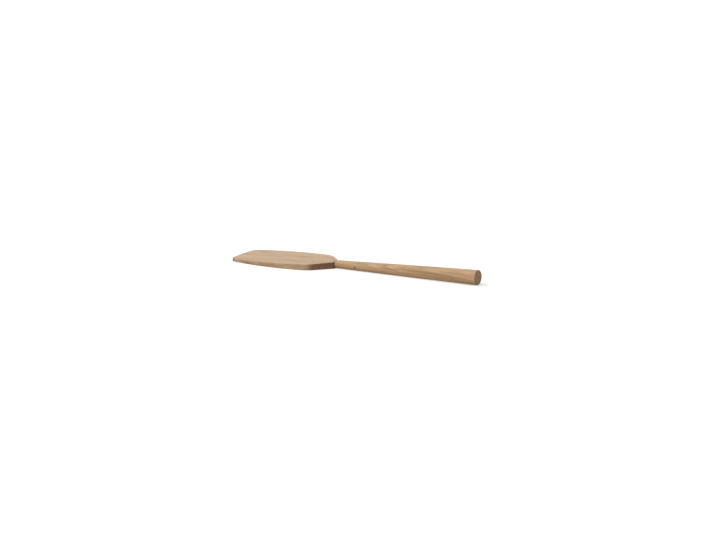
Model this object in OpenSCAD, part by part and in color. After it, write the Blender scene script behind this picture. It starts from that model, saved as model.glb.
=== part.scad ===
// Wooden spatula: a thin flat blade with a round tenon, a turned tapering handle bored to take it,
// and a small wooden peg driven across the joint. It lies on the underside of its blade and on
// the bottom of its butt. X runs from the front edge to the butt, Z is up, and Z = 0 is the table.

/* [Blade] */
// Length of the blade from its front edge to the end of the handle
blade_len = 122; // [105:1:150]
// Width of the blade at its widest place
blade_w = 67; // [54:1:84]
// Distance from the front edge to the widest place
widest_at = 56; // [45:1:68]
// Thickness of the front edge
front_t = 3; // [2:0.1:4.5]
// Thickness of the blade where it meets the handle
shoulder_t = 7.4; // [6:0.1:9]
// Radius of the slight curve of the front edge
front_curve_r = 150; // [120:5:400]
// Radius of the slight curve of each long side
side_curve_r = 215; // [180:5:400]
// Radius of the two front corners
corner_r = 12; // [6:0.5:18]
// Radius of the two rounded shoulders
shoulder_r = 26; // [15:1:32]
// Angle between the straight cut of a shoulder and the handle
shoulder_angle = 48; // [40:1:58]
// Width of the flat end of the blade that the handle butts against
shoulder_end_w = 11.2; // [9:0.1:16]
// Length of the cone that fades the round neck into the top of the blade, down to its point
neck_fade_len = 30; // [20:1:50]

/* [Handle] */
// Length of the handle along its own axis
handle_len = 178; // [120:1:240]
// Diameter of the handle at the neck
neck_d = 8.6; // [7:0.1:11]
// Diameter of the handle at the butt
butt_d = 16.6; // [12:0.1:22]
// Radius of the softened rim of the butt
butt_rim_r = 0.9; // [0.3:0.1:2]
// Radius of the softened rim of the neck
neck_rim_r = 0.3; // [0.2:0.1:1]
// Height of the neck's underside over the table
neck_lift = 0.1; // [0.05:0.05:1]

/* [Joint] */
// Diameter of the round tenon on the blade
tenon_d = 5; // [3.5:0.1:6]
// Length of the tenon from the flat end of the blade
tenon_len = 42; // [30:1:60]
// Gap for glue all round the tenon
tenon_gap = 0.05; // [0.03:0.01:0.1]
// Room left past the end of the tenon
bore_bottom_gap = 1; // [0.5:0.1:3]
// Width of the chamfer round the end of the tenon
tenon_chamfer = 0.5; // [0.2:0.1:1]
// Diameter of the cross peg
peg_d = 2.4; // [1.6:0.1:3]
// Gap all round the peg in its hole
peg_gap = 0.03; // [0.02:0.01:0.06]
// Distance of the peg from the flat end of the blade
peg_from_shoulder = 26.5; // [15:0.5:27]
// Turn of the peg about the handle, up from level on the side nearer -Y
peg_turn = 14; // [0:1:30]

/* [Hidden] */
$fn = 128;
// Far enough past a face to cut right through it
past = 1;

// The tilt of the handle that sets its butt on the table
neck_r = neck_d / 2;
butt_r = butt_d / 2;
neck_z = neck_r + neck_lift;
taper = atan((butt_r - neck_r) / handle_len);
tilt = atan2(butt_r, handle_len) - asin(neck_z / norm([butt_r, handle_len]));

// Overall length, from the front edge to the lowest place on the flat of the butt
overall_len = blade_len + handle_len * cos(tilt) + (butt_r - butt_rim_r) * sin(tilt);
front_x = -overall_len / 2;
neck_x = front_x + blade_len;

// A rounding circle stands out past the lines that it rounds by this share of its radius, so it
// crosses them cleanly. Lines that it would just touch are this share nearer to its centre.
stand_out = 0.002;

// Centres and ends of the arcs of the blade's outline, on its +Y half, from its front edge
front_c = [front_curve_r, 0];
side_c = [widest_at, blade_w / 2 - side_curve_r];
corner_in = nearer(corner_r);
corner_c = circles_meet(front_c, front_curve_r - corner_in, side_c, side_curve_r - corner_in);
corner_front = beyond(front_c, corner_c, front_curve_r);
corner_side = beyond(side_c, corner_c, side_curve_r);
cut_dir = [-cos(shoulder_angle), sin(shoulder_angle)];
cut_out = [sin(shoulder_angle), cos(shoulder_angle)];
blade_end = [blade_len, shoulder_end_w / 2];
shoulder_in = nearer(shoulder_r);
shoulder_c = line_meets_circle(blade_end - shoulder_in * cut_out, cut_dir, side_c, side_curve_r - shoulder_in);
shoulder_side = beyond(side_c, shoulder_c, side_curve_r);
shoulder_cut = shoulder_c + shoulder_in * cut_out;

// Radius of the handle's side at a distance from the neck
function side_radius(z) = neck_r + z * tan(taper);

// Distance from the centre of a rounding circle to the lines that it rounds
function nearer(r) = r * (1 - stand_out);

// The one of the two points on both circles that lies to the right, going from c1 to c2
function circles_meet(c1, r1, c2, r2) =
    let (d = norm(c2 - c1), along = (r1 * r1 - r2 * r2 + d * d) / (2 * d), u = (c2 - c1) / d)
    c1 + along * u + sqrt(r1 * r1 - along * along) * [u[1], -u[0]];

// The far one of the two points where a line through p meets a circle
function line_meets_circle(p, dir, c, r) =
    let (f = p - c, b = f * dir)
    p + (sqrt(b * b - f * f + r * r) - b) * dir;

// The point on a circle straight beyond p, seen from the centre
function beyond(c, p, r) = c + (p - c) * r / norm(p - c);

// The same point on the other side of the blade
function across(p) = [p[0], -p[1]];

// Puts its children in the handle's own frame: Z along the handle from the neck, X down
module along_handle() {
    translate([neck_x, 0, neck_z])
        rotate([0, 90 - tilt, 0])
            children();
}

// The blade seen from above, before its corners are rounded
module sharp_outline() {
    tail = blade_end - past * cut_dir;
    cut_top = blade_end + blade_w * cut_dir;
    intersection() {
        translate(front_c)
            circle(front_curve_r);
        translate(side_c)
            circle(side_curve_r);
        translate(across(side_c))
            circle(side_curve_r);
        polygon([
            tail,
            cut_top,
            [-past, cut_top[1]],
            [-past, -cut_top[1]],
            across(cut_top),
            across(tail)
        ]);
    }
}

// What rounding takes off a corner: all that is past the line from p to q, but not in the circle
module off_cut(c, r, p, q) {
    out = beyond([0, 0], (p + q) / 2 - c, r);
    along = beyond([0, 0], q - p, r);
    difference() {
        polygon([p - along, p - along + out, q + along + out, q + along]);
        translate(c)
            circle(r);
    }
}

module half_off_cuts() {
    off_cut(corner_c, corner_r, corner_front, corner_side);
    off_cut(shoulder_c, shoulder_r, shoulder_side, shoulder_cut);
}

module blade_outline() {
    difference() {
        sharp_outline();
        half_off_cuts();
        mirror([0, 1])
            half_off_cuts();
    }
}

// Side view of the blade: flat underneath, and thinner towards the front
module blade_side_view() {
    rise = (shoulder_t - front_t) / blade_len;
    polygon([
        [-past, 0],
        [-past, front_t - past * rise],
        [blade_len + past, shoulder_t + past * rise],
        [blade_len + past, 0]
    ]);
}

module blade_board() {
    translate([front_x, 0, 0])
        intersection() {
            linear_extrude(shoulder_t + past)
                blade_outline();
            rotate([90, 0, 0])
                linear_extrude(blade_w + 2 * past, center = true)
                    blade_side_view();
        }
}

// The round neck carried on into the blade, down to a point
module neck_fade() {
    translate([0, 0, -neck_fade_len])
        cylinder(h = neck_fade_len + past, r1 = 0, r2 = neck_r * (1 + past / neck_fade_len));
}

module tenon() {
    translate([0, 0, -past])
        cylinder(h = past + tenon_len - tenon_chamfer, d = tenon_d);
    translate([0, 0, tenon_len - tenon_chamfer])
        cylinder(h = tenon_chamfer, d1 = tenon_d, d2 = tenon_d - 2 * tenon_chamfer);
}

// All that is behind the plane where the handle begins
module behind_shoulder() {
    translate([-blade_w / 2, -blade_w / 2, 0])
        cube([blade_w, blade_w, tenon_len]);
}

// A rod straight across the handle, where the peg goes
module cross_rod(d) {
    translate([0, 0, peg_from_shoulder])
        rotate([0, 0, peg_turn])
            rotate([90, 0, 0])
                cylinder(h = butt_d + 2 * past, d = d, center = true);
}

// What rounding takes off the rim of a flat end, where inward is 1 or -1
module rim_off_cut(end_z, r, inward) {
    z = end_z + inward * nearer(r);
    c = [side_radius(z) - nearer(r) / cos(taper), z];
    off_cut(c, r, [c[0], end_z], c + nearer(r) * [cos(taper), -sin(taper)]);
}

// The whole turned form, from the neck at Z = 0 to the butt, with both rims rounded
module turned_form() {
    rotate_extrude()
        difference() {
            polygon([[0, 0], [neck_r, 0], [butt_r, handle_len], [0, handle_len]]);
            rim_off_cut(0, neck_rim_r, 1);
            rim_off_cut(handle_len, butt_rim_r, -1);
        }
}

module blade() {
    color("burlywood")
        difference() {
            union() {
                difference() {
                    union() {
                        blade_board();
                        along_handle()
                            neck_fade();
                    }
                    along_handle()
                        behind_shoulder();
                }
                along_handle()
                    tenon();
            }
            along_handle()
                cross_rod(peg_d + 2 * peg_gap);
        }
}

module handle() {
    color("peru")
        along_handle()
            difference() {
                turned_form();
                translate([0, 0, -past])
                    cylinder(h = past + tenon_len + bore_bottom_gap, d = tenon_d + 2 * tenon_gap);
                cross_rod(peg_d + 2 * peg_gap);
            }
}

module locking_peg() {
    color("saddlebrown")
        along_handle()
            intersection() {
                cross_rod(peg_d);
                turned_form();
            }
}

blade();
handle();
locking_peg();
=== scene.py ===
"""A wooden spatula on a white table: a thin blade tenoned and pegged into a turned, tapering handle.

Lengths are in metres in the part's own frame. X runs from the front edge to the butt, Z is up,
and the table is at Z = 0.
"""

import math

import bmesh
import bpy
from mathutils import Matrix, Vector, noise


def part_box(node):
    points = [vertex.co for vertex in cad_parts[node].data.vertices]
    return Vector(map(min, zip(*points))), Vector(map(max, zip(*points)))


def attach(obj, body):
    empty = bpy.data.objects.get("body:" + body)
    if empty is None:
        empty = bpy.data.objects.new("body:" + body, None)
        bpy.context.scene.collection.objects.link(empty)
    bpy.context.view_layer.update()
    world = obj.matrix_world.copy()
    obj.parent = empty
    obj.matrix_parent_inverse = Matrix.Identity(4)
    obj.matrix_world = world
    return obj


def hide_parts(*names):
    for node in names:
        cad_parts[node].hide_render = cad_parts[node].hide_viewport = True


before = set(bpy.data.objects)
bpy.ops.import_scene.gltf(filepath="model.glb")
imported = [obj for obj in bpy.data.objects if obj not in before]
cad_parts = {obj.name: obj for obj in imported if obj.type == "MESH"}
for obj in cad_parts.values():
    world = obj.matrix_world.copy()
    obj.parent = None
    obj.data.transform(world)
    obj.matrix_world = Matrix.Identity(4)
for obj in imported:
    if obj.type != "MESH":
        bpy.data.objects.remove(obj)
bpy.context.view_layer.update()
bpy.ops.object.select_all(action="DESELECT")

MM = 0.001

# The blade, with the sizes that its construction has
BLADE_LEN = 122 * MM
BLADE_W = 67 * MM
WIDEST_AT = 56 * MM
FRONT_T = 3 * MM
SHOULDER_T = 7.4 * MM
FRONT_CURVE_R = 150 * MM
SIDE_CURVE_R = 215 * MM
CORNER_R = 12 * MM
SHOULDER_R = 26 * MM
SHOULDER_ANGLE = math.radians(48)
SHOULDER_END_W = 11.2 * MM
NECK_FADE_LEN = 30 * MM

# The handle
HANDLE_LEN = 178 * MM
NECK_R = 4.3 * MM
BUTT_R = 8.3 * MM
BUTT_RIM_R = 0.9 * MM
NECK_RIM_R = 0.3 * MM
NECK_LIFT = 0.1 * MM
NECK_Z = NECK_R + NECK_LIFT
TAPER = math.atan((BUTT_R - NECK_R) / HANDLE_LEN)
TILT = math.atan2(BUTT_R, HANDLE_LEN) - math.asin(NECK_Z / math.hypot(BUTT_R, HANDLE_LEN))

# The joint
TENON_R = 2.5 * MM
TENON_LEN = 42 * MM
TENON_CHAMFER = 0.5 * MM
TENON_GAP = 0.05 * MM
BORE_BOTTOM_GAP = 1 * MM
BORE_R = TENON_R + TENON_GAP
BORE_LEN = TENON_LEN + BORE_BOTTOM_GAP
PEG_R = 1.2 * MM
PEG_GAP = 0.03 * MM
PEG_HOLE_R = PEG_R + PEG_GAP
PEG_FROM_SHOULDER = 26.5 * MM
PEG_TURN = math.radians(14)

# Where the blade starts and the handle begins
FRONT_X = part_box("blade")[0].x
NECK_X = FRONT_X + BLADE_LEN
ALONG_HANDLE = Matrix.Translation((NECK_X, 0, NECK_Z)) @ Matrix.Rotation(math.radians(90) - TILT, 4, "Y")


def edit(piece):
    """Opens one piece in edit mode, with nothing else selected."""
    if bpy.context.mode != "OBJECT":
        bpy.ops.object.mode_set(mode="OBJECT")
    bpy.ops.object.select_all(action="DESELECT")
    bpy.context.view_layer.objects.active = piece
    piece.select_set(True)
    bpy.ops.object.mode_set(mode="EDIT")


def pick(piece, kind, wanted):
    """Selects the vertices, edges or faces that are wanted, and nothing else."""
    bpy.ops.mesh.select_all(action="DESELECT")
    bpy.ops.mesh.select_mode(type=kind)
    mesh = bmesh.from_edit_mesh(piece.data)
    mesh.normal_update()
    for item in {"VERT": mesh.verts, "EDGE": mesh.edges, "FACE": mesh.faces}[kind]:
        item.select_set(wanted(item))
    mesh.select_flush_mode()
    bmesh.update_edit_mesh(piece.data)


def saw(place, normal, keep_all=False):
    """Cuts across the whole mesh, and takes away what is on the normal's side unless all is kept."""
    bpy.ops.mesh.select_all(action="SELECT")
    bpy.ops.mesh.bisect(
        plane_co=place, plane_no=normal, use_fill=not keep_all, clear_outer=not keep_all, threshold=1e-7
    )


def finish_mode(piece):
    """Back to object mode, with faces pointing outwards."""
    bpy.ops.mesh.select_all(action="SELECT")
    bpy.ops.mesh.normals_make_consistent(inside=False)
    bpy.ops.object.mode_set(mode="OBJECT")
    piece.select_set(False)


def apply_modifier(piece, kind, **settings):
    bpy.context.view_layer.objects.active = piece
    piece.select_set(True)
    modifier = piece.modifiers.new(kind.lower(), kind)
    for name, value in settings.items():
        setattr(modifier, name, value)
    bpy.ops.object.modifier_apply(modifier=modifier.name)
    piece.select_set(False)


def combine(piece, tool, operation):
    """Joins, bores or trims a piece with a tool shape, which goes away."""
    apply_modifier(piece, "BOOLEAN", object=tool, operation=operation, solver="EXACT")
    bpy.data.objects.remove(tool)


def place_in_mesh(piece, matrix):
    """Puts a piece where it belongs, with its object left at the origin."""
    piece.matrix_world = matrix
    bpy.context.view_layer.objects.active = piece
    piece.select_set(True)
    bpy.ops.object.transform_apply(location=True, rotation=True, scale=True)
    piece.select_set(False)


def soften(piece, sharpest=30):
    """Smooth shading that stays flat on the large faces."""
    bpy.context.view_layer.objects.active = piece
    piece.select_set(True)
    bpy.ops.object.shade_smooth_by_angle(angle=math.radians(sharpest))
    piece.select_set(False)
    apply_modifier(piece, "WEIGHTED_NORMAL", keep_sharp=True, weight=60)


def new_piece(name):
    piece = bpy.context.object
    piece.name = name
    piece.data.name = name
    return piece


# The blade's outline, on its +Y half, from its front edge


def circles_meet(c1, r1, c2, r2):
    """Of the two points on both circles, the one to the right, going from c1 to c2."""
    gap = c2 - c1
    along = (r1 * r1 - r2 * r2 + gap.length_squared) / (2 * gap.length)
    u = gap.normalized()
    return c1 + along * u + math.sqrt(r1 * r1 - along * along) * Vector((u.y, -u.x))


def line_meets_circle(p, direction, c, r):
    """The far one of the two points where a line through p meets a circle."""
    f = p - c
    b = f.dot(direction)
    return p + (math.sqrt(b * b - f.dot(f) + r * r) - b) * direction


def turn_of(p, c):
    """Which way p lies from c, in radians."""
    return math.atan2(p.y - c.y, p.x - c.x)


FRONT_C = Vector((FRONT_CURVE_R, 0))
SIDE_C = Vector((WIDEST_AT, BLADE_W / 2 - SIDE_CURVE_R))
CORNER_C = circles_meet(FRONT_C, FRONT_CURVE_R - CORNER_R, SIDE_C, SIDE_CURVE_R - CORNER_R)
CUT_DIR = Vector((-math.cos(SHOULDER_ANGLE), math.sin(SHOULDER_ANGLE)))
CUT_OUT = Vector((math.sin(SHOULDER_ANGLE), math.cos(SHOULDER_ANGLE)))
BLADE_END = Vector((BLADE_LEN, SHOULDER_END_W / 2))
SHOULDER_C = line_meets_circle(BLADE_END - SHOULDER_R * CUT_OUT, CUT_DIR, SIDE_C, SIDE_CURVE_R - SHOULDER_R)


def outline_arcs():
    """Centre, radius, and the turns at which each arc starts and ends."""
    corner_start = turn_of(CORNER_C, FRONT_C)
    side_start = turn_of(CORNER_C, SIDE_C)
    side_end = turn_of(SHOULDER_C, SIDE_C)
    return [
        (FRONT_C, FRONT_CURVE_R, math.pi, corner_start),
        (CORNER_C, CORNER_R, corner_start, side_start),
        (SIDE_C, SIDE_CURVE_R, side_start, side_end),
        (SHOULDER_C, SHOULDER_R, side_end, turn_of(CUT_OUT, Vector((0, 0)))),
    ]


def inside_outline(x, y):
    """How far a point of the blade lies in from its outline, with x from the front edge."""
    p = Vector((x, abs(y)))
    gaps = [
        FRONT_CURVE_R - (p - FRONT_C).length,
        SIDE_CURVE_R - (p - SIDE_C).length,
        (BLADE_END - p).dot(CUT_OUT),
    ]
    if p.x < CORNER_C.x and p.y > CORNER_C.y:
        gaps.append(CORNER_R - (p - CORNER_C).length)
    return min(gaps)


def top_z(x):
    """Height of the blade's flat top, with x from the front edge."""
    return FRONT_T + (SHOULDER_T - FRONT_T) * x / BLADE_LEN


# The pieces

TOP_ARRIS = 0.7 * MM
UNDER_ARRIS = 0.5 * MM
ARRIS_STEPS = 4


def faceted_arc(centre, radius, start, end):
    """Places and directions of the saw cuts that follow an arc of the outline's +Y half."""
    longest = 4 * MM
    steepest = math.radians(7)
    count = math.ceil(abs(end - start) / min(steepest, longest / radius))
    for step in range(count):
        turn = start + (end - start) * (step + 0.5) / count
        out = Vector((math.cos(turn), math.sin(turn)))
        yield centre + radius * out, out


def blade_blank():
    """A plank sawn to the blade's outline and planed thinner towards the front."""
    spare = 2 * MM
    bpy.ops.mesh.primitive_cube_add(
        size=1,
        location=(FRONT_X + BLADE_LEN / 2, 0, SHOULDER_T / 2 + spare / 2),
        scale=(BLADE_LEN + 2 * spare, BLADE_W + 2 * spare, SHOULDER_T + spare),
    )
    bpy.ops.object.transform_apply(location=True, rotation=True, scale=True)
    blank = new_piece("blade_with_tenon")
    edit(blank)
    for centre, radius, start, end in outline_arcs():
        for place, out in faceted_arc(centre, radius, start, end):
            saw((FRONT_X + place.x, place.y, 0), (out.x, out.y, 0))
            saw((FRONT_X + place.x, -place.y, 0), (out.x, -out.y, 0))
    for side in (1, -1):
        saw((NECK_X, side * BLADE_END.y, 0), (CUT_OUT.x, side * CUT_OUT.y, 0))
    saw((NECK_X, 0, NECK_Z), (math.cos(TILT), 0, math.sin(TILT)))
    rise = (SHOULDER_T - FRONT_T) / BLADE_LEN
    saw((FRONT_X, 0, FRONT_T), (-rise, 0, 1))
    return blank


def soften_arrises(blade):
    """Rounds the rims of the top and the underside, but not where the handle meets them."""

    def is_rim(edge, up):
        faces = edge.link_faces
        if len(faces) != 2 or any(f.normal.x > 0.99 for f in faces):
            return False
        return max(up * f.normal.z for f in faces) > 0.9 > 0.1 > min(abs(f.normal.z) for f in faces)

    for up, radius in ((1, TOP_ARRIS), (-1, UNDER_ARRIS)):
        pick(blade, "EDGE", lambda edge: is_rim(edge, up))
        bpy.ops.mesh.bevel(
            offset=radius, offset_type="OFFSET", segments=ARRIS_STEPS, profile=0.5, affect="EDGES"
        )


def rule_faces(blade):
    """Divides the broad faces, so that they can take a hand-made surface."""
    ring = 2.2 * MM
    broad = 1000 * MM * MM
    for up in (1, -1):
        pick(blade, "FACE", lambda face: up * face.normal.z > 0.99 and face.calc_area() > broad)
        bpy.ops.mesh.inset(thickness=ring)
    step = 3 * MM
    fine_step = 1 * MM
    x = FRONT_X + step
    while x < NECK_X - step / 2:
        saw((x, 0, 0), (1, 0, 0), keep_all=True)
        x += step if x < NECK_X - NECK_FADE_LEN else fine_step
    y = 0
    while y < BLADE_W / 2 - step:
        for side in (1, -1) if y else (1,):
            saw((0, side * y, 0), (0, 1, 0), keep_all=True)
        y += fine_step if y < SHOULDER_END_W / 2 else step


def neck_height(x, y):
    """Height of the round neck carried on into the blade, or 0 where it isn't there."""
    back = NECK_X - x
    radius = NECK_R * (1 - back / NECK_FADE_LEN)
    if radius <= abs(y):
        return 0
    return NECK_Z - back * math.tan(TILT) + math.sqrt(radius * radius - y * y)


def work_surface(blade):
    """Fades the neck into the top, and leaves the faint waves of hand tools on every face."""
    fillet = 0.9 * MM
    wave = 0.1 * MM
    wave_len = 26 * MM
    wave_width = 15 * MM
    side_wave_len = 19 * MM
    top_layer = 0.2
    still = 6 * MM
    for vertex in blade.data.vertices:
        x, y, z = vertex.co
        top = top_z(x - FRONT_X)
        share = z / top
        neck = neck_height(x, y)
        near = max(0, 1 - abs(neck - top) / fillet)
        lift = max(neck, top) + near * near * fillet / 4 - top
        if share > 1 - top_layer:
            z += lift * (share - (1 - top_layer)) / top_layer
        fade = min(1, (NECK_X - x) / still)
        roll = noise.noise(Vector((x / wave_len, y / wave_width, 3 * share)))
        sway = noise.noise(Vector((x / side_wave_len, 4, 9 + math.copysign(1, y))))
        z += fade * wave * roll * share
        y += fade * wave * sway * 2 * y / BLADE_W
        vertex.co = (x, y, z)


def add_cylinder(name, radius, length, vertices, start=0):
    """An upright cylinder on the Z axis, from a starting height up."""
    bpy.ops.mesh.primitive_cylinder_add(
        vertices=vertices, radius=radius, depth=length, location=(0, 0, start + length / 2)
    )
    bpy.ops.object.transform_apply(location=True, rotation=True, scale=True)
    return new_piece(name)


def cross_rod(radius, vertices=48):
    """A rod straight across the handle, where the peg goes."""
    rod = add_cylinder("rod", radius, 4 * NECK_R, vertices, start=-2 * NECK_R)
    turn = Matrix.Rotation(PEG_TURN, 4, "Z") @ Matrix.Rotation(math.radians(90), 4, "X")
    place_in_mesh(rod, ALONG_HANDLE @ Matrix.Translation((0, 0, PEG_FROM_SHOULDER)) @ turn)
    return rod


def tenon():
    """The round tenon, rooted a little way inside the blade."""
    root = 1 * MM
    rod = add_cylinder("tenon", TENON_R, TENON_LEN + root, 64, start=-root)
    edit(rod)
    pick(rod, "EDGE", lambda edge: all(v.co.z > TENON_LEN - MM for v in edge.verts))
    bpy.ops.mesh.bevel(offset=TENON_CHAMFER, segments=1, affect="EDGES")
    finish_mode(rod)
    place_in_mesh(rod, ALONG_HANDLE)
    return rod


def make_blade():
    blade = blade_blank()
    soften_arrises(blade)
    rule_faces(blade)
    finish_mode(blade)
    work_surface(blade)
    combine(blade, tenon(), "UNION")
    combine(blade, cross_rod(PEG_HOLE_R), "DIFFERENCE")
    soften(blade)
    return blade


SWELL = 0.19 * MM
TURNING_WAVE = 0.05 * MM


def turned_radius(z):
    """Radius of the handle at a distance from the neck, with its slight swell."""
    share = min(1, max(0, z / HANDLE_LEN))
    return NECK_R + (BUTT_R - NECK_R) * share + SWELL * math.sin(math.pi * share)


def turned_form(name):
    """The handle as it leaves the lathe, upright, with the neck at Z = 0 and both rims rounded."""
    form = add_cylinder(name, NECK_R, HANDLE_LEN, 96)
    edit(form)
    pick(form, "VERT", lambda vertex: vertex.co.z > HANDLE_LEN / 2)
    wider = BUTT_R / NECK_R
    bpy.ops.transform.resize(value=(wider, wider, 1), center_override=(0, 0, HANDLE_LEN))
    rings = 30
    for ring in range(1, rings):
        saw((0, 0, HANDLE_LEN * ring / rings), (0, 0, 1), keep_all=True)
    for end, radius, steps in ((HANDLE_LEN, BUTT_RIM_R, 5), (0, NECK_RIM_R, 3)):
        pick(form, "EDGE", lambda edge: all(abs(v.co.z - end) < 1e-6 for v in edge.verts))
        bpy.ops.mesh.bevel(offset=radius, segments=steps, profile=0.5, affect="EDGES")
    crown = 0.12 * MM
    for width in (2.4 * MM, 2.4 * MM, 1.6 * MM):
        pick(form, "FACE", lambda face: face.normal.z > 0.99 and len(face.verts) > 4)
        bpy.ops.mesh.inset(thickness=width)
        bpy.ops.transform.translate(value=(0, 0, crown / 3))
    finish_mode(form)
    wave_len = 22 * MM
    still = 8 * MM
    for vertex in form.data.vertices:
        x, y, z = vertex.co
        straight = NECK_R + z * math.tan(TAPER)
        around = math.atan2(y, x)
        roll = noise.noise(Vector((math.cos(around), math.sin(around), z / wave_len)))
        calm = min(1, z / still)
        wider = (turned_radius(z) + calm * TURNING_WAVE * roll) / straight
        vertex.co = (x * wider, y * wider, z)
    return form


def make_handle():
    handle = turned_form("turned_handle")
    edit(handle)
    pick(handle, "FACE", lambda face: face.normal.z < -0.99)
    bpy.ops.mesh.inset(thickness=NECK_R - NECK_RIM_R - BORE_R)
    bpy.ops.mesh.extrude_region_move(TRANSFORM_OT_translate={"value": (0, 0, BORE_LEN)})
    finish_mode(handle)
    place_in_mesh(handle, ALONG_HANDLE)
    combine(handle, cross_rod(PEG_HOLE_R), "DIFFERENCE")
    soften(handle)
    return handle


def make_peg():
    """A small rod trimmed almost flush with the handle, its ends softened."""
    proud = 0.05 * MM
    trim = turned_form("trim")
    for vertex in trim.data.vertices:
        flat = Vector((vertex.co.x, vertex.co.y, 0))
        vertex.co += proud * flat.normalized()
    place_in_mesh(trim, ALONG_HANDLE)
    peg = cross_rod(PEG_R)
    peg.name = "trimmed_peg"
    peg.data.name = "trimmed_peg"
    combine(peg, trim, "INTERSECT")
    edit(peg)
    axis = (ALONG_HANDLE.to_3x3() @ Matrix.Rotation(PEG_TURN, 3, "Z") @ Vector((0, 1, 0))).normalized()

    def is_end_rim(edge):
        faces = edge.link_faces
        return len(faces) == 2 and sum(abs(f.normal.dot(axis)) > 0.7 for f in faces) == 1

    pick(peg, "EDGE", is_end_rim)
    bpy.ops.mesh.bevel(offset=0.12 * MM, segments=2, profile=0.5, affect="EDGES")
    finish_mode(peg)
    soften(peg)
    return peg


blade = make_blade()
handle = make_handle()
peg = make_peg()


# How far each place is from the nearest arris, for wear and for painted shade along the rims


FAR_FROM_ARRIS = 20 * MM


def note_arris(piece, distance):
    """Stores each vertex's distance to its nearest arris, in millimetres, for the materials."""
    layer = piece.data.attributes.new("from_arris", "FLOAT", "POINT")
    for vertex in piece.data.vertices:
        layer.data[vertex.index].value = min(FAR_FROM_ARRIS, distance(vertex.co)) / MM


def blade_arris(p):
    if p.x > NECK_X + MM:
        return FAR_FROM_ARRIS
    gap = max(0, inside_outline(p.x - FRONT_X, p.y))
    top = top_z(p.x - FRONT_X) - p.z
    return min(math.hypot(gap, top), math.hypot(gap, p.z))


def handle_arris(p):
    """The rim at the neck sits against the blade, so it counts as four times as far away."""
    local = ALONG_HANDLE.inverted() @ p
    in_from_side = turned_radius(local.z) - math.hypot(local.x, local.y)
    return min(math.hypot(in_from_side, HANDLE_LEN - local.z), 4 * math.hypot(in_from_side, local.z))


note_arris(blade, blade_arris)
note_arris(handle, handle_arris)
note_arris(peg, lambda p: FAR_FROM_ARRIS)


# Shader building


def fill(node, values):
    """Sets a node's inputs: a socket is linked, and anything else is written in."""
    for name, value in values.items():
        if isinstance(value, bpy.types.NodeSocket):
            node.id_data.links.new(value, node.inputs[name])
        else:
            node.inputs[name].default_value = value
    return node


def add(tree, kind, values=None, **settings):
    node = tree.nodes.new(kind)
    for name, value in settings.items():
        setattr(node, name, value)
    return fill(node, values or {})


def maths(tree, operation, *values):
    return add(tree, "ShaderNodeMath", dict(enumerate(values)), operation=operation).outputs[0]


def vectors(tree, operation, *values, out=0):
    return add(tree, "ShaderNodeVectorMath", dict(enumerate(values)), operation=operation).outputs[out]


def rise(tree, value, low, high, to_low=0.0, to_high=1.0, smooth=True):
    """to_low up to the value low, and to_high from the value high on."""
    values = {"Value": value, "From Min": low, "From Max": high, "To Min": to_low, "To Max": to_high}
    kind = "SMOOTHSTEP" if smooth else "LINEAR"
    return add(tree, "ShaderNodeMapRange", values, interpolation_type=kind).outputs[0]


def tint(tree, mode, factor, first, second):
    values = {0: factor, 6: first, 7: second}
    return add(tree, "ShaderNodeMix", values, data_type="RGBA", blend_type=mode).outputs[2]


def stretched(tree, position, size):
    """Coordinates in which a grain of that size, in millimetres, is one unit each way."""
    return vectors(tree, "DIVIDE", position, size)


def noise_of(tree, position, size, detail=2.0, roughness=0.5, seed=0.0):
    """Noise from 0 to 1 whose patches have that size, in millimetres."""
    place = vectors(tree, "ADD", stretched(tree, position, size), (seed, seed * 0.7, seed * 1.3))
    values = {"Vector": place, "Scale": 1.0, "Detail": detail, "Roughness": roughness}
    return add(tree, "ShaderNodeTexNoise", values).outputs[0]


def shader_group(name, inputs, outputs):
    """A node group with its inputs and outputs, each a name, a kind of socket and a default."""
    group = bpy.data.node_groups.new(name, "ShaderNodeTree")
    for socket, kind, value in inputs:
        made = group.interface.new_socket(socket, in_out="INPUT", socket_type="NodeSocket" + kind)
        made.default_value = value
    for socket, kind in outputs:
        group.interface.new_socket(socket, in_out="OUTPUT", socket_type="NodeSocket" + kind)
    return group, group.nodes.new("NodeGroupInput").outputs, group.nodes.new("NodeGroupOutput")


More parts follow.
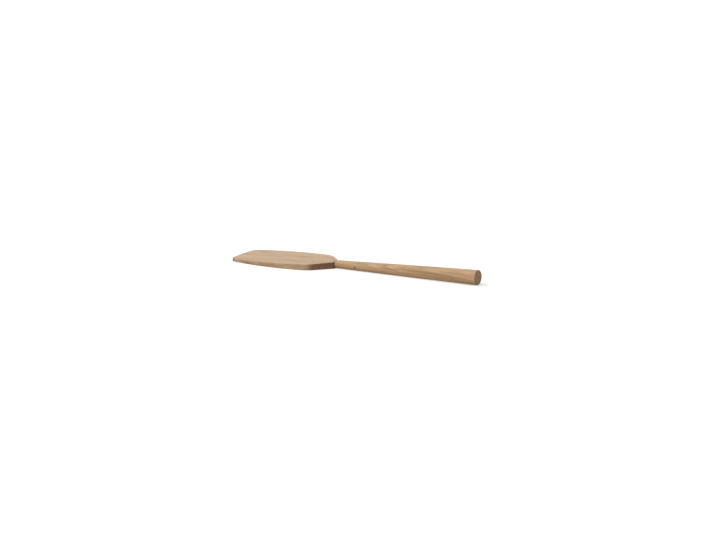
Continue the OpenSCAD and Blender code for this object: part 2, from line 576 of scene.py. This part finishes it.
def growth_rings():
    """Rings round the heart of the tree, which runs along X, with a dark late wood in each."""
    group, given, out = shader_group(
        "growth_rings",
        [
            ("Position", "Vector", (0, 0, 0)),
            ("Heart", "Vector", (0, 0, 0)),
            ("Lean", "Vector", (0, 0, 0)),
            ("Spacing", "Float", 2.0),
            ("Waver", "Float", 1.0),
        ],
        [("Late Wood", "Float"), ("Shade", "Float")],
    )
    moved = add(
        group,
        "ShaderNodeMapping",
        {"Vector": given["Position"], "Location": given["Heart"], "Rotation": given["Lean"]},
        vector_type="TEXTURE",
    ).outputs[0]
    slow_place = stretched(group, moved, (90, 22, 22))
    slow = add(group, "ShaderNodeTexNoise", {"Vector": slow_place, "Scale": 1.0, "Detail": 2.0})
    quick_place = stretched(group, moved, (34, 5, 5))
    quick = add(group, "ShaderNodeTexNoise", {"Vector": quick_place, "Scale": 1.0, "Detail": 1.0})
    sway = vectors(group, "SUBTRACT", slow.outputs[1], (0.5, 0.5, 0.5))
    jitter = vectors(group, "SUBTRACT", quick.outputs[1], (0.5, 0.5, 0.5))
    waver = maths(group, "MULTIPLY", given["Waver"], 7.0)
    swayed = add(group, "ShaderNodeVectorMath", {0: sway, 3: waver}, operation="SCALE").outputs[0]
    moved = vectors(group, "ADD", moved, swayed)
    moved = vectors(group, "ADD", moved, vectors(group, "MULTIPLY", jitter, (0, 1.1, 1.1)))
    radius = vectors(group, "LENGTH", vectors(group, "MULTIPLY", moved, (0, 1, 1)), out=1)
    years = maths(group, "DIVIDE", radius, given["Spacing"])
    decades = maths(group, "MULTIPLY", years, 0.31)
    uneven = add(
        group, "ShaderNodeTexNoise", {"W": decades, "Scale": 1.0, "Detail": 1.0}, noise_dimensions="1D"
    )
    years = maths(group, "ADD", years, maths(group, "MULTIPLY", uneven.outputs[0], 2.4))
    age = maths(group, "FRACT", years)
    whole_years = maths(group, "FLOOR", years)
    each = add(group, "ShaderNodeTexWhiteNoise", {"W": whole_years}, noise_dimensions="1D").outputs[0]
    late = maths(group, "MULTIPLY", rise(group, age, 0.3, 0.92), rise(group, age, 0.94, 1.0, 1.0, 0.0))
    depth = maths(group, "MULTIPLY_ADD", each, 0.65, 0.35)
    group.links.new(maths(group, "MULTIPLY", late, depth), out.inputs["Late Wood"])
    group.links.new(each, out.inputs["Shade"])
    return group


def long_fibres():
    """Streaks, fine fibres and open pores, all drawn out along X. Cut across, they show as specks."""
    group, given, out = shader_group(
        "long_fibres",
        [("Position", "Vector", (0, 0, 0)), ("Seed", "Float", 0.0)],
        [("Bands", "Float"), ("Streaks", "Float"), ("Fibres", "Float"), ("Pores", "Float")],
    )
    along = maths(group, "MULTIPLY", given["Seed"], 37.0)
    apart = add(group, "ShaderNodeCombineXYZ", {0: along, 1: given["Seed"]}).outputs[0]
    place = vectors(group, "ADD", given["Position"], apart)
    bands = noise_of(group, place, (75, 7, 5), detail=1.0, seed=3.1)
    streaks = noise_of(group, place, (38, 1.7, 1.7), detail=2.0, seed=7.7)
    fibres = noise_of(group, place, (9, 0.35, 0.35), detail=2.0, roughness=0.6, seed=1.9)
    pores = noise_of(group, place, (4.5, 0.3, 0.3), detail=1.0, seed=5.3)
    clusters = noise_of(group, place, (30, 2.2, 2.2), detail=1.0, seed=9.1)
    pores = rise(group, pores, 0.61, 0.7)
    clusters = rise(group, clusters, 0.35, 0.6, 0.25, 1.0)
    open_pores = maths(group, "MULTIPLY", pores, clusters)
    for name, value in (("Bands", bands), ("Streaks", streaks), ("Fibres", fibres), ("Pores", open_pores)):
        group.links.new(value, out.inputs[name])
    return group


def cut_across():
    """How far a surface is cut across the grain: 0 along the fibres, 1 on end grain."""
    group, given, out = shader_group(
        "cut_across", [("From", "Float", 0.3), ("To", "Float", 0.8)], [("Mask", "Float")]
    )
    normal = add(group, "ShaderNodeTexCoord").outputs["Normal"]
    along = maths(group, "ABSOLUTE", add(group, "ShaderNodeSeparateXYZ", {0: normal}).outputs[0])
    group.links.new(rise(group, along, given["From"], given["To"]), out.inputs["Mask"])
    return group


def arris_wear_and_shade():
    """Where an arris is handled and knocked, and where shade is painted along the rims: 1 on it, fading
    over a ragged width in millimetres.
    """
    group, given, out = shader_group(
        "arris_wear_and_shade", [("Position", "Vector", (0, 0, 0)), ("Width", "Float", 1.5)], [("Mask", "Float")]
    )
    distance = add(group, "ShaderNodeAttribute", attribute_name="from_arris").outputs["Fac"]
    patches = noise_of(group, given["Position"], (9, 3, 3), detail=3.0)
    ragged = rise(group, patches, 0.3, 0.7, 0.35, 1.5, smooth=False)
    width = maths(group, "MULTIPLY", given["Width"], ragged)
    widths_away = maths(group, "DIVIDE", distance, width)
    group.links.new(rise(group, widths_away, 0.0, 1.0, 1.0, 0.0), out.inputs["Mask"])
    return group


RINGS = growth_rings()
FIBRES = long_fibres()
ACROSS = cut_across()
ARRIS = arris_wear_and_shade()

MM_PER_METRE = (1000, 1000, 1000)
PORE_TINT = (0.5, 0.38, 0.28, 1)
# Tint of the arrises: partly wear, partly painted shade
WEAR_AND_SHADE_TINT = (0.55, 0.5, 0.46, 1)


def use_group(tree, group, values):
    return add(tree, "ShaderNodeGroup", values, node_tree=group)


def oiled_wood(name, heart, lean, spacing, seed, pale, deep, end_grain_and_shade_tint, end_from):
    """Oiled, open-pored wood with its grain along X. The heart of the tree is placed in millimetres."""
    material = bpy.data.materials.new(name)
    material.use_nodes = True
    tree = material.node_tree
    shader = tree.nodes["Principled BSDF"]
    place = add(tree, "ShaderNodeTexCoord").outputs["Object"]
    position = vectors(tree, "MULTIPLY", place, MM_PER_METRE)
    rings = use_group(tree, RINGS, {"Position": position, "Heart": heart, "Lean": lean, "Spacing": spacing})
    fibres = use_group(tree, FIBRES, {"Position": position, "Seed": seed})
    across = use_group(tree, ACROSS, {"From": end_from}).outputs["Mask"]
    arris = use_group(tree, ARRIS, {"Position": position}).outputs["Mask"]

    shares = (
        (rings.outputs["Late Wood"], 0.40),
        (rings.outputs["Shade"], 0.14),
        (rise(tree, fibres.outputs["Bands"], 0.3, 0.7), 0.30),
        (rise(tree, fibres.outputs["Streaks"], 0.32, 0.68), 0.34),
        (fibres.outputs["Fibres"], 0.22),
    )
    figure = 0.0
    for value, share in shares:
        figure = maths(tree, "MULTIPLY_ADD", value, share, figure)
    figure = maths(tree, "SUBTRACT", figure, 0.2)
    depth = add(tree, "ShaderNodeClamp", {0: figure}).outputs[0]
    colour = tint(tree, "MIX", depth, (*pale, 1), (*deep, 1))
    in_pores = maths(tree, "MULTIPLY", fibres.outputs["Pores"], 0.55)
    colour = tint(tree, "MULTIPLY", in_pores, colour, PORE_TINT)
    # End grain's own darker tone, set deeper as painted shade on cut faces turned from the light, and on
    # the handle's butt greyed as a painted sheen
    colour = tint(tree, "MULTIPLY", across, colour, (*end_grain_and_shade_tint, 1))
    # Arrises darker and greyer: partly wear, partly painted shade along the rims
    colour = tint(tree, "MULTIPLY", maths(tree, "MULTIPLY", arris, 0.6), colour, WEAR_AND_SHADE_TINT)
    rough = maths(tree, "MULTIPLY_ADD", fibres.outputs["Fibres"], 0.16, 0.44)
    rough = maths(tree, "MULTIPLY_ADD", fibres.outputs["Pores"], 0.2, rough)
    rough = maths(tree, "MULTIPLY_ADD", arris, -0.08, rough)
    rough = maths(tree, "MULTIPLY_ADD", across, 0.1, rough)
    height = maths(tree, "MULTIPLY_ADD", fibres.outputs["Pores"], -1.0, fibres.outputs["Fibres"])
    height = maths(tree, "MULTIPLY_ADD", rings.outputs["Late Wood"], 0.5, height)
    bump = add(tree, "ShaderNodeBump", {"Height": height, "Strength": 0.5, "Distance": 0.00006})
    fill(shader, {"Base Color": colour, "Roughness": rough, "Normal": bump.outputs[0], "IOR": 1.45})
    return material


blade_wood = oiled_wood(
    "blade_wood",
    heart=(0, 9, -46),
    lean=(0, 0.02, 0.015),
    spacing=2.3,
    seed=1.0,
    pale=(0.68, 0.47, 0.28),
    deep=(0.33, 0.195, 0.098),
    # End grain tone, deepened as painted shade on the shoulder cuts
    end_grain_and_shade_tint=(0.42, 0.30, 0.27),
    end_from=0.25,
)
handle_wood = oiled_wood(
    "handle_wood",
    heart=(0, 30, -24),
    lean=(0, 0.0, 0.02),
    spacing=2.0,
    seed=4.0,
    pale=(0.68, 0.44, 0.235),
    deep=(0.27, 0.145, 0.062),
    # Butt end grain: darker in its own tone, and greyed and blued as a painted sheen
    end_grain_and_shade_tint=(0.5, 0.52, 0.62),
    end_from=0.5,
)
peg_wood = oiled_wood(
    "peg_wood",
    heart=(0, 12, 12),
    lean=(0, 0, 0),
    spacing=1.2,
    seed=8.0,
    pale=(0.20, 0.13, 0.06),
    deep=(0.09, 0.055, 0.025),
    end_grain_and_shade_tint=(0.8, 0.8, 0.8),
    end_from=0.6,
)

for piece, material, node, slot in (
    (blade, blade_wood, "blade", "blade_wood"),
    (handle, handle_wood, "handle", "handle_wood"),
    (peg, peg_wood, "locking_peg", "peg_wood"),
):
    piece.data.materials.clear()
    piece.data.materials.append(material)
    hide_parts(node)
    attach(piece, "root")


# The table, the light and the camera

WHITE = (1, 1, 1, 1)
TABLE_WHITE = (0.8, 0.8, 0.8, 1)
TABLE_REACH = 30
# What the lit table lacks to pure white
TABLE_GLOW = 0.36
SKY = 0.6


def make_table():
    """A white floor that shows pure white to the camera but keeps the shadow, and is clear from below."""
    bpy.ops.mesh.primitive_circle_add(vertices=64, radius=TABLE_REACH, fill_type="NGON", location=(0, 0, 0))
    table = new_piece("table")
    material = bpy.data.materials.new("white_table")
    material.use_nodes = True
    tree = material.node_tree
    tree.nodes.remove(tree.nodes["Principled BSDF"])
    matt = add(tree, "ShaderNodeBsdfDiffuse", {"Color": TABLE_WHITE}).outputs[0]
    seen = add(tree, "ShaderNodeLightPath").outputs["Is Camera Ray"]
    strength = maths(tree, "MULTIPLY", seen, TABLE_GLOW)
    glow = add(tree, "ShaderNodeEmission", {"Color": WHITE, "Strength": strength})
    lit = add(tree, "ShaderNodeAddShader", {0: matt, 1: glow.outputs[0]}).outputs[0]
    clear = add(tree, "ShaderNodeBsdfTransparent").outputs[0]
    back = add(tree, "ShaderNodeNewGeometry").outputs["Backfacing"]
    either = add(tree, "ShaderNodeMixShader", {0: back, 1: lit, 2: clear}).outputs[0]
    tree.links.new(either, tree.nodes["Material Output"].inputs["Surface"])
    table.data.materials.append(material)


def make_world():
    """White for the camera and for reflections, and a soft even light for everything else."""
    world = bpy.data.worlds.new("studio")
    bpy.context.scene.world = world
    world.use_nodes = True
    tree = world.node_tree
    path = add(tree, "ShaderNodeLightPath").outputs
    shown = maths(tree, "MAXIMUM", path["Is Camera Ray"], path["Is Glossy Ray"])
    shown = maths(tree, "MAXIMUM", shown, path["Is Transmission Ray"])
    strength = rise(tree, shown, 0.0, 1.0, SKY, 1.0, smooth=False)
    fill(tree.nodes["Background"], {"Color": WHITE, "Strength": strength})


def add_sky_light(name, source, spread, strength):
    """Soft light from one direction, as even over the whole table as a large window gives it."""
    lamp = bpy.data.lights.new(name, "SUN")
    lamp.angle = math.radians(spread)
    lamp.energy = strength * math.pi
    light = bpy.data.objects.new(name, lamp)
    bpy.context.scene.collection.objects.link(light)
    light.location = source
    light.rotation_euler = (-Vector(source)).to_track_quat("-Z", "Y").to_euler()


def make_camera():
    """The photograph's camera: a long lens, from the blade's left and a little above."""
    azimuth = math.radians(29.52)
    elevation = math.radians(12.34)
    distance = 5.0
    image_w = 716
    pixels_per_metre = 908
    right_of_aim = 0.14
    under_aim = 0.49
    sensor = 36
    back = Vector(
        (
            math.sin(azimuth) * math.cos(elevation),
            -math.cos(azimuth) * math.cos(elevation),
            math.sin(elevation),
        )
    )
    data = bpy.data.cameras.new("camera")
    data.sensor_width = sensor
    data.lens = pixels_per_metre * distance * sensor / image_w
    data.shift_x = -right_of_aim / image_w
    data.shift_y = under_aim / image_w
    data.clip_end = 100
    camera = bpy.data.objects.new("camera", data)
    bpy.context.scene.collection.objects.link(camera)
    camera.location = distance * back
    camera.rotation_euler = (-back).to_track_quat("-Z", "Y").to_euler()
    bpy.context.scene.camera = camera


make_camera()
make_table()
make_world()
add_sky_light("key", source=(-1.0, -0.55, 1.5), spread=50, strength=0.42)
bpy.context.scene.view_settings.view_transform = "Standard"
